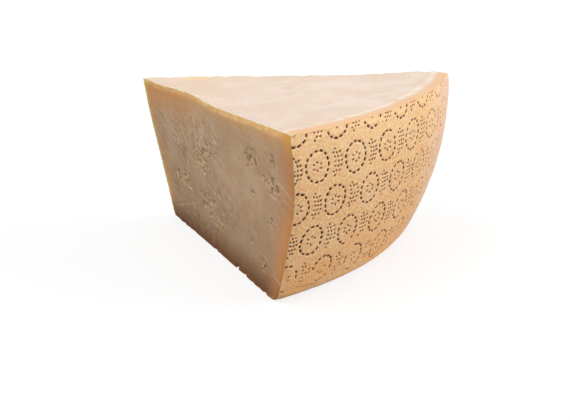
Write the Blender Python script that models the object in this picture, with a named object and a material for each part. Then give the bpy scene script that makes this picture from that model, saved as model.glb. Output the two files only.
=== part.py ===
# A wedge of hard, long-aged cheese. The wheel was halved through the middle of its height,
# and each half was cut into eight. The wedge rests on the wheel's flat bottom: its curved
# side and its bottom are rind, and its level top and its two straight sides are cuts.
# Metres, +Z up. The rind faces -Y and the wedge's point faces +Y.

import math
import random

import bmesh
import bpy
from mathutils import Vector, noise
from mathutils.geometry import delaunay_2d_cdt

# The wheel
WHEEL_RADIUS = 0.215  # at its widest, where the level cut goes through
HALF_HEIGHT = 0.1032  # from the flat bottom to the level cut
BULGE = 0.0292  # how much the side draws in towards the bottom
BULGE_POWER = 2.13  # a higher power keeps the side upright further down
RIM_ROUNDING = 0.0115  # radius where the side turns into the bottom

# The cuts
WEDGE_ANGLE = math.radians(48)
POINT_FROM_AXIS = Vector((0.0048, -0.0012, 0))  # the cuts meet this far from the wheel's axis
POINT_LEAN = Vector((0.0131, -0.0066, 0))  # how far the knives strayed on the way down

# Worn edges: how far each is pared back at least, how much further in places
EDGE_REACH = 0.0045  # wear ends this far from an edge
TOP_EDGE_WEAR = (0.0003, 0.0009)
SIDE_EDGE_WEAR = (0.0004, 0.0003)
RIM_EDGE_WEAR = (0.0004, 0.0002)
BOTTOM_EDGE_WEAR = (0.0001, 0.0003)
POINT_EDGE_WEAR = (0.0005, 0.0004)
POINT_TOP_WEAR = 0.0010  # the point's upper corner is rubbed off by this
POINT_TOP_REACH = 0.030
CRUMB_SIZE = 0.006  # how long a crumbled stretch of edge is

# Pieces broken out of the left cut's lower edge, in millimetres: distance from the point,
# half length, depth
LEFT_NOTCHES = ((88, 3, 0.3), (127, 2.5, 1.1), (140, 2.5, 0.4), (171, 2.5, 0.3))
RIGHT_NOTCH_COUNT = 6

# Places where the hand cut strayed or a corner is rubbed, in millimetres: middle, reach, push
PUSHES = (
    ((-90.9, -192.2, 64), 34, (1.5, -0.7, 0)),  # the left cut's rind edge is hollow half way down
    ((-92.2, -195.2, 103.2), 16, (0.6, 1.4, 0)),
    ((82.7, -195.2, 103.2), 75, (0, 0, 1.2)),  # the right cut's rind end stands a little high
    ((82.7, -195.2, 103.2), 9, (-2.0, 1.3, -4.2)),
    ((-30.8, -65.1, 103.2), 50, (3.8, -1.8, 0)),  # the left cut is hollow under its upper edge
    ((0, 0, 103.2), 30, (0, 0, 0.8)),  # the point's upper corner stands a little high
)

# Unevenness of the whole piece and of the cuts
WARP_SIZE, WARP_DEPTH = 0.070, 0.0010
WARP_START = Vector((6.5, 3.0, 7.9))  # where in the noise the warp is taken
DRAG_SIZE, DRAG_DEPTH = 0.022, 0.0005
TOP_SIZE, TOP_DEPTH = 0.045, 0.0006
FADE = 0.006  # the relief of a cut dies out this near its edges

# Crags where the grainy paste broke out of the left cut, in millimetres: distance from the
# point, height, half length, half height, depth
LEFT_CRAGS = (
    (84, 77, 2.0, 2.5, 1.2),
    (84, 62, 11.0, 8.0, 1.8),
    (99, 71, 9.0, 6.0, 1.0),
    (38, 41, 7.0, 5.0, 1.6),
    (51, 42, 7.0, 7.0, 1.8),
    (165, 81, 9.5, 6.0, 1.4),
    (177, 73, 4.0, 2.0, 1.2),
    (192, 84, 3.5, 6.5, 1.0),
    (188, 70, 9.0, 7.0, 1.3),
    (145, 59, 3.2, 3.2, 1.2),
    (162, 60, 3.5, 2.2, 1.2),
    (84, 33, 11.0, 8.0, 2.0),
    (99, 22, 7.0, 9.0, 2.2),
    (185, 47, 3.5, 4.0, 1.0),
    (154, 27, 3.2, 2.4, 1.4),
    (149, 12, 3.0, 5.0, 1.0),
    (171, 16, 6.0, 4.0, 1.8),
)
RIGHT_CRAG_COUNT = 14
CRAG_GRAIN = 0.0030  # size of the lumps inside a crag
CRAG_RAGGED = 0.0065  # size of the bays in a crag's outline

# A flake lifted out of the top near the right cut: distance from the point, distance in
# from the cut, half length, half width, depth
TOP_FLAKE = (0.042, 0.0055, 0.0100, 0.0045, 0.0012)

# Sizes of the faces
RADIAL_STEPS = 96  # along each straight edge
ARC_STEPS = 40  # round the rind
HEIGHT_STEPS = 18  # up the rind, above its rounding
ROUNDING_STEPS = 4
CUT_SPACING = 0.0068
CRAG_SPACING = 0.0020
LEVEL_SPACING = 0.0100

LEFT, RIGHT = -1, 1
MIDDLE = -math.pi / 2  # the wedge's middle points to -Y
AXIS = -POINT_FROM_AXIS


def smooth_step(x):
    x = min(max(x, 0.0), 1.0)
    return x * x * (3 - 2 * x)


def barrel_radius(z):
    return WHEEL_RADIUS - BULGE * (max(HALF_HEIGHT - z, 0.0) / HALF_HEIGHT) ** BULGE_POWER


def rim_turn():
    """How far the rounding at the bottom turns before it runs into the bulging side."""
    turn = 1.0
    for _ in range(30):
        up = 1 - RIM_ROUNDING * (1 - math.cos(turn)) / HALF_HEIGHT
        lean = BULGE * BULGE_POWER / HALF_HEIGHT * up ** (BULGE_POWER - 1)
        turn = math.atan2(1.0, lean)
    return turn


RIM_TURN = rim_turn()
RIM_TOP = RIM_ROUNDING * (1 - math.cos(RIM_TURN))
RIM_CENTRE = barrel_radius(RIM_TOP) - RIM_ROUNDING * math.sin(RIM_TURN)


def side_radius(z):
    """The wheel's radius at a height: a bulging side that turns into the bottom by an arc."""
    if z > RIM_TOP:
        return barrel_radius(z)
    drop = RIM_ROUNDING - max(z, 0.0)
    return RIM_CENTRE + math.sqrt(RIM_ROUNDING**2 - drop**2)


def rind_heights():
    """The heights of the rows of rind, close together where it rounds into the bottom."""
    turns = [RIM_TURN * i / ROUNDING_STEPS for i in range(ROUNDING_STEPS)]
    rows = [RIM_ROUNDING * (1 - math.cos(turn)) for turn in turns]
    rise = (HALF_HEIGHT - RIM_TOP) / HEIGHT_STEPS
    return rows + [RIM_TOP + rise * i for i in range(HEIGHT_STEPS + 1)]


def point_at(z):
    """The line where the two straight cuts meet."""
    return POINT_LEAN * (1 - z / HALF_HEIGHT) + Vector((0, 0, z))


def rind_at(t, z):
    """The rind at a height, from the left cut at t = 0 to the right cut at t = 1."""
    angle = MIDDLE + WEDGE_ANGLE * (t - 0.5)
    radius = side_radius(z)
    return AXIS + Vector((radius * math.cos(angle), radius * math.sin(angle), z))


def cut_line(side, z):
    """Where a straight cut starts and ends at a height, and its outward normal."""
    start = point_at(z)
    end = rind_at(0 if side == LEFT else 1, z)
    along = (end - start).normalized()
    return start, end, Vector((-along.y, along.x, 0)) * side


def depths(p):
    """How far a place lies inside each of the five faces, measured level or plumb."""
    inside = {"top": HALF_HEIGHT - p.z, "bottom": p.z}
    inside["rind"] = side_radius(p.z) - (p - AXIS).xy.length
    for name, side in (("left", LEFT), ("right", RIGHT)):
        start, _, outward = cut_line(side, p.z)
        inside[name] = (start - p).dot(outward)
    return inside


def outward_normals(p):
    return {
        "top": Vector((0, 0, 1)),
        "bottom": Vector((0, 0, -1)),
        "rind": Vector(((p - AXIS).x, (p - AXIS).y, 0)).normalized(),
        "left": cut_line(LEFT, p.z)[2],
        "right": cut_line(RIGHT, p.z)[2],
    }


EDGES = (
    ("top", "left", TOP_EDGE_WEAR),
    ("top", "right", TOP_EDGE_WEAR),
    ("top", "rind", RIM_EDGE_WEAR),
    ("left", "rind", SIDE_EDGE_WEAR),
    ("right", "rind", SIDE_EDGE_WEAR),
    ("left", "bottom", BOTTOM_EDGE_WEAR),
    ("right", "bottom", BOTTOM_EDGE_WEAR),
    ("left", "right", POINT_EDGE_WEAR),
)


def notches(side):
    """The pieces broken out of a lower edge, in metres. The right edge's lie by chance."""
    if side == LEFT:
        return [tuple(value / 1000 for value in notch) for notch in LEFT_NOTCHES]
    chance = random.Random(5)
    places = [0.030 * (i + 0.5 + chance.uniform(-0.3, 0.3)) for i in range(RIGHT_NOTCH_COUNT)]
    return [(along, chance.uniform(0.0025, 0.0050), chance.uniform(0.0005, 0.0014)) for along in places]


NOTCHES = (("left", notches(LEFT)), ("right", notches(RIGHT)))


def notched(p, inside, normals):
    """How far a place moves where a piece has broken out of a lower edge."""
    move = Vector((0, 0, 0))
    along = (p - point_at(p.z)).length
    for side, found in NOTCHES:
        near = 1 - (inside[side] + inside["bottom"]) / EDGE_REACH
        if near <= 0:
            continue
        for centre, half_length, depth in found:
            share = smooth_step(1.6 * (1 - abs(along - centre) / half_length))
            move -= (normals[side] + normals["bottom"]) * (depth * share * smooth_step(near))
    return move


def pushed(p):
    """How far a place moves where the cuts strayed and the corners are rubbed."""
    move = Vector((0, 0, 0))
    for middle, reach, push in PUSHES:
        share = smooth_step(1 - (p * 1000 - Vector(middle)).length / reach)
        move += Vector(push) * (share / 1000)
    return move


def warp_at(p):
    """The slow bend of the whole piece. It dies out towards the flat bottom."""
    bends = [noise.noise(p / WARP_SIZE + WARP_START + Vector((7.1 * i, 0, 0))) for i in range(3)]
    warp = Vector(bends) * WARP_DEPTH
    warp.z *= smooth_step(p.z / HALF_HEIGHT)
    return warp


def worn(p):
    """A place on the sharp wedge, moved to where warp and wear have put it."""
    inside = depths(p)
    normals = outward_normals(p)
    moved = p.copy()
    for one, other, (least, more) in EDGES:
        near = 1 - (inside[one] + inside[other]) / EDGE_REACH
        if near <= 0:
            continue
        crumbled = max(0.0, noise.noise(p / CRUMB_SIZE) + 0.15)
        inwards = -(normals[one] + normals[other])
        moved += inwards * (least + more * crumbled) * smooth_step(near)
    rubbed = 1 - (inside["left"] + inside["right"] + inside["top"]) / POINT_TOP_REACH
    if rubbed > 0:
        back = (normals["left"] + normals["right"]).normalized()
        moved -= back * POINT_TOP_WEAR * rubbed * smooth_step(1 - inside["top"] / POINT_TOP_REACH)
    return moved + notched(p, inside, normals) + pushed(p) + warp_at(p)


def crags(side):
    """The crags of one straight cut, in metres. The right cut has its own, spread by chance."""
    if side == LEFT:
        return [tuple(value / 1000 for value in crag) for crag in LEFT_CRAGS]
    chance = random.Random(7)
    found = []
    while len(found) < RIGHT_CRAG_COUNT:
        along, height = chance.uniform(0.03, 0.195), chance.uniform(0.014, 0.088)
        if all(math.hypot(along - other[0], height - other[1]) > 0.020 for other in found):
            size = chance.uniform(0.002, 0.009)
            found.append((along, height, size, size * chance.uniform(0.5, 0.9), size * 0.32))
    return found


CRAGS = {LEFT: crags(LEFT), RIGHT: crags(RIGHT)}


def in_crag(side, along, height):
    """How far inside the nearest crag, from 1 in its middle to 0 at its edge, and its depth."""
    best = (-9.0, 0.0)
    for centre, level, half_length, half_height, depth in CRAGS[side]:
        x = (along - centre) / half_length
        y = (height - level) / half_height
        best = max(best, (1 - math.hypot(x, y), depth))
    return best


def cut_relief(side, along, height, length):
    """How deep the surface of a straight cut lies, from drag marks and crags."""
    border = min(along, length - along, height, HALF_HEIGHT - height)
    place = Vector((along, height, 3.7 * side))
    drag = noise.noise(place / DRAG_SIZE) * DRAG_DEPTH
    within, depth = in_crag(side, along, height)
    ragged = within + 0.5 * noise.noise(place / CRAG_RAGGED)
    lumps = max(0.1, 0.6 + 1.1 * noise.noise(place / CRAG_GRAIN))
    return (drag + depth * smooth_step(2.5 * ragged) * lumps) * smooth_step(border / FADE)


def top_relief(p):
    """How much lower than level the top is: faint waves, and one flake lifted out."""
    inside = depths(p)
    border = min(inside["left"], inside["right"], inside["rind"])
    waves = noise.noise(p / TOP_SIZE) * TOP_DEPTH * smooth_step(border / FADE)
    from_point, from_cut, half_length, half_width, depth = TOP_FLAKE
    along = (p - point_at(HALF_HEIGHT)).length
    x = (along - from_point) / half_length
    y = (inside["right"] - from_cut) / half_width
    return waves + depth * smooth_step(1.6 * (1 - math.hypot(x, y)))


def lattice(width, height, spacing):
    """Places in staggered rows over a rectangle."""
    rows = int(height / (spacing * 0.866)) + 1
    for row in range(rows):
        start = spacing * (0.25 + 0.5 * (row % 2))
        for column in range(int(width / spacing) + 1):
            yield Vector((start + column * spacing, (row + 0.5) * spacing * 0.866))


def filled(outline, inner):
    """Triangles between an outline and the places inside it, with every place used."""
    count = len(outline)
    flat = [Vector(p[:2]) for p in outline + inner]
    _, _, faces, origins, _, _ = delaunay_2d_cdt(flat, [], [list(range(count))], 1, 1e-9)
    return [[origins[corner][0] for corner in face] for face in faces]


def clear_of(outline, place, gap):
    """Whether a place lies inside an outline, at least a gap away from it."""
    crossings = 0
    for a, b in zip(outline, outline[1:] + outline[:1]):
        run = b - a
        share = min(max((place - a).dot(run) / run.length_squared, 0), 1)
        if (a + run * share - place).length < gap:
            return False
        if (a.y > place.y) != (b.y > place.y):
            crossings += place.x < a.x + run.x * (place.y - a.y) / run.y
    return crossings % 2 == 1


def add_patch(mesh, places, triangles, slot):
    """One face of the wedge, as loose triangles that are joined to their neighbours later."""
    corners = [mesh.verts.new(place) for place in places]
    for triangle in triangles:
        face = mesh.faces.new([corners[index] for index in triangle])
        face.material_index = slot


def add_straight_cut(mesh, side):
    """The left or the right cut: the whole outline, then finer places where the crags are."""
    heights = rind_heights()
    shares = [i / RADIAL_STEPS for i in range(RADIAL_STEPS + 1)]
    spots = [(share, 0.0) for share in shares]
    spots += [(1.0, z) for z in heights[1:]]
    spots += [(share, HALF_HEIGHT) for share in shares[-2::-1]]
    spots += [(0.0, z) for z in heights[-2:0:-1]]

    def length_at(z):
        start, end, _ = cut_line(side, z)
        return (end - start).length

    outline = [Vector((share * length_at(z), z)) for share, z in spots]
    inner = []
    for spacing, in_crags in ((CRAG_SPACING, True), (CUT_SPACING, False)):
        for place in lattice(WHEEL_RADIUS, HALF_HEIGHT, spacing):
            fine = in_crag(side, place.x, place.y)[0] > -0.25
            if fine == in_crags and clear_of(outline, place, 0.45 * spacing):
                inner.append(place)
    triangles = filled(outline, inner)
    places = []
    for place in outline + inner:
        start, end, outward = cut_line(side, place.y)
        length = (end - start).length
        on_cut = start + (end - start) * (place.x / length)
        depth = cut_relief(side, place.x, place.y, length)
        places.append(worn(on_cut) - outward * depth)
    add_patch(mesh, places, triangles, 0)


def add_rind(mesh):
    """The curved side, in rows and columns."""
    heights = rind_heights()
    columns = [i / ARC_STEPS for i in range(ARC_STEPS + 1)]
    places = [worn(rind_at(t, z)) for z in heights for t in columns]
    across = len(columns)
    triangles = []
    for row in range(len(heights) - 1):
        for column in range(ARC_STEPS):
            a = row * across + column
            b, c, d = a + 1, a + across + 1, a + across
            triangles += [(a, b, c), (a, c, d)] if (row + column) % 2 else [(a, b, d), (b, c, d)]
    add_patch(mesh, places, triangles, 1)


def add_level_face(mesh, z, slot):
    """The top or the bottom, between the two straight cuts and the rind."""
    outline = []
    for i in range(RADIAL_STEPS):
        start, end, _ = cut_line(LEFT, z)
        outline.append(start + (end - start) * (i / RADIAL_STEPS))
    outline += [rind_at(i / ARC_STEPS, z) for i in range(ARC_STEPS)]
    for i in range(RADIAL_STEPS, 0, -1):
        start, end, _ = cut_line(RIGHT, z)
        outline.append(start + (end - start) * (i / RADIAL_STEPS))
    flat = [p.xy for p in outline]
    corner = Vector((-0.5 * WHEEL_RADIUS, -1.05 * WHEEL_RADIUS))
    inner = []
    for place in lattice(WHEEL_RADIUS, 1.1 * WHEEL_RADIUS, LEVEL_SPACING):
        if clear_of(flat, place + corner, 0.4 * LEVEL_SPACING):
            inner.append((place + corner).to_3d() + Vector((0, 0, z)))
    triangles = filled(outline, inner)
    on_top = z > 0
    places = []
    for p in outline + inner:
        sunk = top_relief(p) if on_top else 0.0
        places.append(worn(p) - Vector((0, 0, sunk)))
    add_patch(mesh, places, triangles, slot)


def make_material(name, colour, roughness):
    material = bpy.data.materials.new(name)
    material.use_nodes = True
    shader = material.node_tree.nodes["Principled BSDF"]
    shader.inputs["Base Color"].default_value = (*colour, 1)
    shader.inputs["Roughness"].default_value = roughness
    shader.inputs["Metallic"].default_value = 0.0
    material.diffuse_color = (*colour, 1)
    return material


def make_wedge():
    mesh = bmesh.new()
    add_straight_cut(mesh, LEFT)
    add_straight_cut(mesh, RIGHT)
    add_rind(mesh)
    add_level_face(mesh, HALF_HEIGHT, 0)
    add_level_face(mesh, 0.0, 1)
    bmesh.ops.remove_doubles(mesh, verts=mesh.verts, dist=1e-6)
    bmesh.ops.recalc_face_normals(mesh, faces=mesh.faces)
    low = [min(v.co[axis] for v in mesh.verts) for axis in range(3)]
    high = [max(v.co[axis] for v in mesh.verts) for axis in range(3)]
    centre = Vector(((low[0] + high[0]) / 2, (low[1] + high[1]) / 2, low[2]))
    bmesh.ops.translate(mesh, verts=mesh.verts, vec=-centre)
    data = bpy.data.meshes.new("cheese_wedge")
    mesh.to_mesh(data)
    mesh.free()
    data.materials.append(make_material("paste", (0.79, 0.60, 0.38), 0.55))
    data.materials.append(make_material("rind", (0.62, 0.33, 0.12), 0.60))
    data.shade_smooth()
    data.set_sharp_from_angle(angle=math.radians(35))
    wedge = bpy.data.objects.new("cheese_wedge", data)
    bpy.context.scene.collection.objects.link(wedge)


for old in list(bpy.data.objects):
    bpy.data.objects.remove(old, do_unlink=True)
make_wedge()
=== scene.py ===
import math
import random
from collections import namedtuple

import bmesh
import bpy
import numpy as np
from mathutils import Matrix, Vector, noise
from mathutils.geometry import delaunay_2d_cdt


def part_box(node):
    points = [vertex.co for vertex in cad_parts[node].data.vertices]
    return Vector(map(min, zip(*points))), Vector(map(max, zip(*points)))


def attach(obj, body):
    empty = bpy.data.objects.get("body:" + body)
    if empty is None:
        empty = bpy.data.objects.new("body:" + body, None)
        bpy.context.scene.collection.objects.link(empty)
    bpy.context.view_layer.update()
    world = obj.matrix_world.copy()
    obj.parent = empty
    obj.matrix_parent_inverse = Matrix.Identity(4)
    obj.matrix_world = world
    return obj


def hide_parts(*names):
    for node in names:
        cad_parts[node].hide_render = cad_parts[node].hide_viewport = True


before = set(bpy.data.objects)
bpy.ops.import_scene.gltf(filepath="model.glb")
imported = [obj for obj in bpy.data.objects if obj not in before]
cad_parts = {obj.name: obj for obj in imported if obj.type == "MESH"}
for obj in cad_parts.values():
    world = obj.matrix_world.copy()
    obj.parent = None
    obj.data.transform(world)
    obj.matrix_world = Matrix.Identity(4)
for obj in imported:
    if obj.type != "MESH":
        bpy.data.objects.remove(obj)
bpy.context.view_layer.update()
print("frame loaded")

# The wedge's sizes are those of the solid, in metres: the rind faces -Y, the point +Y
wheel = {
    "radius": 0.215,  # at the level cut
    "halfHeight": 0.1032,
    "bulge": 0.0292,  # how much the side draws in towards the bottom
    "bulgePower": 2.13,
    "rimRounding": 0.0115,
    "wedgeAngle": math.radians(48),
    "pointFromAxis": (0.0048, -0.0012),
    "pointLean": (0.0131, -0.0066),
}
wear = {
    "edgeReach": 0.0045,
    "edges": (  # the two faces, least and further paring
        ("top", "left", 0.0003, 0.0009), ("top", "right", 0.0003, 0.0009),
        ("top", "rind", 0.0004, 0.0002), ("left", "rind", 0.0004, 0.0003),
        ("right", "rind", 0.0004, 0.0003), ("left", "bottom", 0.0001, 0.0003),
        ("right", "bottom", 0.0001, 0.0003), ("left", "right", 0.0005, 0.0004),
    ),
    "leftNotches": (  # millimetres: distance from the point, half length, depth
        (88, 3, 0.3), (127, 2.5, 1.1), (140, 2.5, 0.4), (171, 2.5, 0.3),
    ),
    "rightNotchCount": 6,
    "rightNotchPitch": 0.030,
    "crumbSize": 0.006,
    "crumblySize": 0.007,  # how large the crumbly stretches of the edges are
    "crumblyReach": 0.0018,
    "pointTopWear": 0.0010,
    "pointTopReach": 0.030,
    "pushes": (  # millimetres: middle, reach, push
        ((-90.9, -192.2, 64), 34, (1.5, -0.7, 0)),
        ((-92.2, -195.2, 103.2), 16, (0.6, 1.4, 0)),
        ((82.7, -195.2, 103.2), 75, (0, 0, 1.2)),
        ((82.7, -195.2, 103.2), 9, (-2.0, 1.3, -4.2)),
        ((-30.8, -65.1, 103.2), 50, (3.8, -1.8, 0)),
        ((0, 0, 103.2), 30, (0, 0, 0.8)),
    ),
    "warpSize": 0.070,
    "warpDepth": 0.0010,
    "warpStart": (6.5, 3.0, 7.9),
    "chips": (  # finer than the solid has: the two faces, share of the depth
        ("top", "left", 1.0), ("top", "right", 1.0), ("left", "bottom", 0.22),
        ("right", "bottom", 0.22), ("left", "right", 0.9),
    ),
    "chipSize": 0.0017,
    "chipDepth": 0.0007,
    "chipReach": 0.0022,
}
middle = -math.pi / 2
axis = -np.array(wheel["pointFromAxis"])
topHeight = wheel["halfHeight"]
rounding = wheel["rimRounding"]
rindArc = wheel["radius"] * wheel["wedgeAngle"]
sides = {"left": -1, "right": 1}


def smoothStep(x):
    x = np.clip(x, 0, 1)
    return x * x * (3 - 2 * x)


def noiseAt(places, size):
    return np.array([noise.noise(place) for place in (places / size).tolist()])


def barrelRadius(z):
    up = np.maximum(topHeight - z, 0) / topHeight
    return wheel["radius"] - wheel["bulge"] * up ** wheel["bulgePower"]


def leanAt(z):
    up = np.maximum(topHeight - z, 0) / topHeight
    return wheel["bulge"] * wheel["bulgePower"] / topHeight * up ** (wheel["bulgePower"] - 1)


def findRimTurn():
    turn = 1.0
    for _ in range(30):
        turn = math.atan2(1.0, leanAt(rounding * (1 - math.cos(turn))))
    return turn


rimTurn = findRimTurn()
rimArc = rounding * rimTurn
rimTop = rounding * (1 - math.cos(rimTurn))
rimCentre = barrelRadius(rimTop) - rounding * math.sin(rimTurn)
barrelHeights = np.linspace(rimTop, topHeight, 400)
barrelRun = np.hypot(np.diff(barrelRadius(barrelHeights)), np.diff(barrelHeights)).sum()
rindRun = rimArc + barrelRun  # up the rind, from where the flat bottom ends to the level cut


def sideRadius(z):
    drop = rounding - np.clip(z, 0, rimTop)
    return np.where(z > rimTop, barrelRadius(z), rimCentre + np.sqrt(rounding**2 - drop**2))


def profileAt(run, lift=0.0):
    # radius, height and slope of the rind, at a distance up it and a lift off it
    run = np.asarray(run, float)
    low = np.minimum(run, rimArc) / rounding
    barrel = rimTop + (run - rimArc) * (topHeight - rimTop) / barrelRun
    height = np.where(run < rimArc, rounding * (1 - np.cos(low)), barrel)
    turn = np.where(run < rimArc, low, np.arctan2(1.0, leanAt(height)))
    return sideRadius(height) + lift * np.sin(turn), height - lift * np.cos(turn), turn


def rindAngle(t):
    # t goes round the rind from 0 at the left cut to 1 at the right one
    return middle + wheel["wedgeAngle"] * (np.asarray(t, float) - 0.5)


def rindPlace(t, run, lift=0.0):
    radius, height, _ = profileAt(run, lift)
    angle = rindAngle(t)
    parts = (axis[0] + radius * np.cos(angle), axis[1] + radius * np.sin(angle), height)
    return np.stack(np.broadcast_arrays(*parts), -1)


def rindNormal(t, run):
    turn, angle = profileAt(run)[2], rindAngle(t)
    parts = (np.sin(turn) * np.cos(angle), np.sin(turn) * np.sin(angle), -np.cos(turn))
    return np.stack(np.broadcast_arrays(*parts), -1)


def pointAt(z):
    left = 1 - np.asarray(z, float) / topHeight
    return np.stack([*(lean * left for lean in wheel["pointLean"]), z * np.ones_like(left)], -1)


def cutAlong(t, run, shares, lift):
    # a level line on one side's cut, from the point to the rim
    rim = rindPlace(t, run, lift)
    start = pointAt(np.array(rim[2]))
    return start + (rim - start) * np.asarray(shares)[:, None]


def cutOutward(side, z):
    # a straight cut's first places and outward normals, at some heights
    angle = middle + wheel["wedgeAngle"] * 0.5 * sides[side]
    start = pointAt(z)[..., :2]
    end = axis + sideRadius(z)[..., None] * np.array([math.cos(angle), math.sin(angle)])
    along = (end - start) / np.linalg.norm(end - start, axis=-1, keepdims=True)
    return start, np.stack([-along[..., 1], along[..., 0], 0 * z], -1) * sides[side]


def insideOf(p):
    # how deep places lie inside each face, and the faces' outward normals
    z = p[:, 2]
    fromAxis = p[:, :2] - axis
    distance = np.linalg.norm(fromAxis, axis=1)
    inside = {"top": topHeight - z, "bottom": z, "rind": sideRadius(z) - distance}
    outward = {"top": np.array([0, 0, 1.0]), "bottom": np.array([0, 0, -1.0])}
    outward["rind"] = np.column_stack([fromAxis / np.maximum(distance, 1e-9)[:, None], 0 * z])
    for name in sides:
        start, outward[name] = cutOutward(name, z)
        inside[name] = ((start - p[:, :2]) * outward[name][:, :2]).sum(1)
    return inside, outward


def nearEdge(inside, one, other, reach):
    return smoothStep(1 - (inside[one] + inside[other]) / reach)


def inMetres(rows):
    return [tuple(value / 1000 for value in row) for row in rows]


def findRightNotches():
    chance = random.Random(5)
    pitch, count = wear["rightNotchPitch"], wear["rightNotchCount"]
    places = [pitch * (i + 0.5 + chance.uniform(-0.3, 0.3)) for i in range(count)]
    return [(along, chance.uniform(0.0025, 0.0050), chance.uniform(0.0005, 0.0014)) for along in places]


notches = {"left": inMetres(wear["leftNotches"]), "right": findRightNotches()}


def worn(p):
    # the solid's own warp, worn edges and notches
    inside, outward = insideOf(p)
    moved = p.copy()
    along = np.linalg.norm(p - pointAt(p[:, 2]), axis=1)
    for side, found in notches.items():
        near = nearEdge(inside, side, "bottom", wear["edgeReach"])
        for centre, halfLength, depth in found:
            share = smoothStep(1.6 * (1 - np.abs(along - centre) / halfLength))
            moved -= (outward[side] + outward["bottom"]) * (depth * share * near)[:, None]
    crumbled = np.maximum(0, noiseAt(p, wear["crumbSize"]) + 0.15)
    for one, other, least, more in wear["edges"]:
        near = nearEdge(inside, one, other, wear["edgeReach"])
        moved -= (outward[one] + outward[other]) * ((least + more * crumbled) * near)[:, None]
    reach = wear["pointTopReach"]
    rubbed = np.maximum(0, 1 - (inside["left"] + inside["right"] + inside["top"]) / reach)
    back = outward["left"] + outward["right"]
    back /= np.linalg.norm(back, axis=1, keepdims=True)
    moved -= back * (wear["pointTopWear"] * rubbed * smoothStep(1 - inside["top"] / reach))[:, None]
    for centre, reach, push in wear["pushes"]:
        share = smoothStep(1 - np.linalg.norm(p * 1000 - centre, axis=1) / reach)
        moved += share[:, None] * np.array(push) / 1000
    size, start = wear["warpSize"], np.array(wear["warpStart"])
    bends = [noiseAt(p + (start + (7.1 * i, 0, 0)) * size, size) for i in range(3)]
    warp = np.stack(bends, -1) * wear["warpDepth"]
    warp[:, 2] *= smoothStep(p[:, 2] / topHeight)
    return moved + warp


def chipped(p):
    # how far small chips along the knife's edges move places
    inside, outward = insideOf(p)
    size = wear["chipSize"]
    rough = np.maximum(0, noiseAt(p + 0.5, size) + 0.3 * noiseAt(p - 0.4, size * 3))
    moved = np.zeros_like(p)
    for one, other, share in wear["chips"]:
        near = nearEdge(inside, one, other, wear["chipReach"])
        moved -= (outward[one] + outward[other]) * (share * wear["chipDepth"] * rough * near)[:, None]
    return moved


# The straight cuts. Crags in millimetres: distance from the point, height, half length, half height, depth
cuts = {
    "leftCrags": (
        (84, 77, 2.0, 2.5, 1.2), (84, 62, 11.0, 8.0, 1.8), (99, 71, 9.0, 6.0, 1.0),
        (38, 41, 7.0, 5.0, 1.6), (51, 42, 7.0, 7.0, 1.8), (165, 81, 9.5, 6.0, 1.4),
        (177, 73, 4.0, 2.0, 1.2), (192, 84, 3.5, 6.5, 1.0), (188, 70, 9.0, 7.0, 1.3),
        (145, 59, 3.2, 3.2, 1.2), (162, 60, 3.5, 2.2, 1.2), (84, 33, 11.0, 8.0, 2.0),
        (99, 22, 7.0, 9.0, 2.2), (185, 47, 3.5, 4.0, 1.0), (154, 27, 3.2, 2.4, 1.4),
        (149, 12, 3.0, 5.0, 1.0), (171, 16, 6.0, 4.0, 1.8),
    ),
    "rightCragCount": 14,
    "cragGrain": 0.0030,
    "cragRagged": 0.0065,
    "dragSize": 0.022,
    "dragDepth": 0.0005,
    "fade": 0.006,  # relief dies out this near the edges
    "pitFade": 0.003,
    "tornSize": 0.026,
    "calm": (0.003, 0.017),  # under the upper edge the paste isn't torn: from, and how wide
    "grainTurn": math.radians(-39),  # the paste's grain, from level, going away from the point
    "pitSize": 0.0016,  # sharp pits, drawn out along the grain
    "pitLength": 2.2,
    "pitShare": 0.30,
    "pitsFrom": 0.02,
    "lonePitsFrom": 0.56,
    "lonePitDepth": 0.0005,
    "grainSize": 0.0024,
    "grainDepth": 0.00014,
    "spacing": {"left": 0.00068, "right": 0.00100},
    "edgeSpacing": 0.00032,
}
top = {
    "waveSize": 0.045,
    "waveDepth": 0.0006,
    "flake": (0.045, 0.0060, 0.0125, 0.0060, 0.0013),  # from the point, from the cut, half sizes, depth
    "spacing": 0.0022,
    "edgeSpacing": 0.0004,
}
skin = {
    "thickness": 0.0006,
    "overlap": 0.00035,  # the paste reaches this near the rind's outside
    "tuck": 0.00006,  # the paste's cuts lie this far behind the rind's cut edge
    "tuckReach": 0.003,
    "tuckDepth": 0.001,
    "spacing": 0.00048,
    "borderShare": 0.6,  # the spacing at the skin's borders, beside that between them
    "edgeSpacing": 0.0008,
    "bottomSpacing": 0.006,
    "hiddenSpacing": 0.008,
}


def findRightCrags():
    chance = random.Random(7)
    found = []
    while len(found) < cuts["rightCragCount"]:
        along, height = chance.uniform(0.03, 0.195), chance.uniform(0.014, 0.088)
        if all(math.hypot(along - other[0], height - other[1]) > 0.020 for other in found):
            size = chance.uniform(0.002, 0.009)
            found.append((along, height, size, size * chance.uniform(0.5, 0.9), size * 0.32))
    return found


crags = {"left": inMetres(cuts["leftCrags"]), "right": findRightCrags()}
grainWay = (math.cos(cuts["grainTurn"]), math.sin(cuts["grainTurn"]))


def alongGrain(along, height):
    cos, sin = grainWay
    return along * cos + height * sin, height * cos - along * sin


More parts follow.
